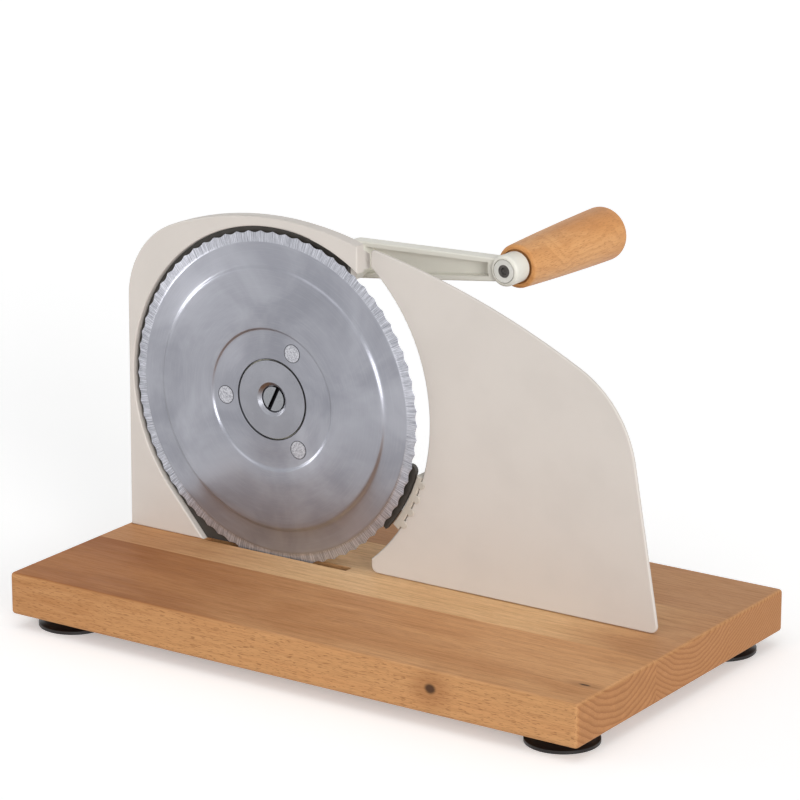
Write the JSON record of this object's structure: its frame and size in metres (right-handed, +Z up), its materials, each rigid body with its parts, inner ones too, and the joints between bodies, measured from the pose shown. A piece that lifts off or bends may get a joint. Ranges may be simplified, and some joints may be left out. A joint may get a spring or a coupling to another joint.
{
  "type": "hand cranked bread slicer",
  "caption": "Wooden board carrying an upright round slicing blade in an enamelled plate, turned through gears by a crank with a wooden grip, beside a sliding fence that sets the slice.",
  "frame": {"origin": "under the middle of the whole machine's box, on the surface that its feet stand on", "axes": "+X to the right along the board, from the blade to the fence; +Y away from the user, along the blade's axle; +Z up"},
  "size_m": [0.3676, 0.2612, 0.2263],
  "materials": {
    "beech_board": "oiled",
    "beech_grip": "varnished",
    "cream_enamel": "semi-gloss paint",
    "crank_enamel": "semi-gloss paint",
    "cream_plastic": "satin",
    "blade_steel": "ground",
    "polished_steel": "fine turned",
    "zinc_steel": "zinc plated",
    "dark_steel": "blackened",
    "gear_steel": "machined",
    "gear_nylon": "moulded",
    "brass": "turned",
    "black_plastic": "satin",
    "white_plastic": "satin",
    "black_rubber": "matte"
  },
  "bodies": {
    "base": {"base_board": "beech_board", "foot_front_left": "black_rubber", "foot_front_right": "black_rubber", "foot_rear_left": "black_rubber", "foot_rear_right": "black_rubber", "foot_screws": "zinc_steel", "front_plate": "cream_enamel", "plate_screws": "zinc_steel", "blade_liner": "black_plastic", "liner_screws": "zinc_steel", "gear_housing": "cream_enamel", "housing_screws": "zinc_steel", "axle_hub": "polished_steel", "axle_screw": "polished_steel", "crank_bush_front": "brass", "crank_bush_rear": "brass", "guide_block": "cream_enamel", "guide_screws": "zinc_steel", "guide_bush_left": "brass", "guide_bush_right": "brass"},
    "blade_unit": {"blade": "blade_steel", "blade_rivets": "polished_steel", "drive_gear": "gear_nylon", "blade_bush": "brass"},
    "crank": {"pinion": "gear_steel", "crank_shaft": "zinc_steel", "crank_arm": "crank_enamel", "crank_washer": "zinc_steel", "crank_nut": "zinc_steel", "grip_bush": "white_plastic", "grip_bolt": "dark_steel"},
    "grip_unit": {"grip": "beech_grip", "grip_sleeve": "zinc_steel"},
    "fence": {"fence_plate": "cream_enamel", "edge_guard": "cream_plastic", "fence_bracket": "zinc_steel", "fence_nuts": "zinc_steel", "guide_rod_left": "zinc_steel", "guide_rod_right": "zinc_steel", "spindle_nut": "brass"},
    "knob": {"spindle": "zinc_steel", "spindle_clip": "dark_steel", "thickness_knob": "black_plastic", "knob_screw": "dark_steel"}
  },
  "joints": [
    {"name": "crank_turn", "type": "hinge", "parent": "base", "child": "crank", "pos_m": [-0.05925, -0.0246, 0.19543], "axis": [0, 1, 0], "continuous": true},
    {"name": "blade_spin", "type": "hinge", "parent": "base", "child": "blade_unit", "pos_m": [-0.0798, -0.0246, 0.1233], "axis": [0, 1, 0], "continuous": true},
    {"name": "grip_turn", "type": "hinge", "parent": "crank", "child": "grip_unit", "pos_m": [0.03985, -0.0246, 0.20306], "axis": [0, 1, 0], "continuous": true},
    {"name": "knob_turn", "type": "hinge", "parent": "base", "child": "knob", "pos_m": [0.07177, -0.0246, 0.0643], "axis": [0, 1, 0], "range_deg": [-63.2, 207.2]},
    {"name": "fence_slide", "type": "slide", "parent": "base", "child": "fence", "axis": [0, 1, 0], "range_m": [-0.0042, 0.0138]}
  ],
  "couplings": [
    {"joint": "blade_spin", "follows": "crank_turn", "ratio": -0.25},
    {"joint": "knob_turn", "follows": "fence_slide", "rad_per_m": 261.8}
  ]
}
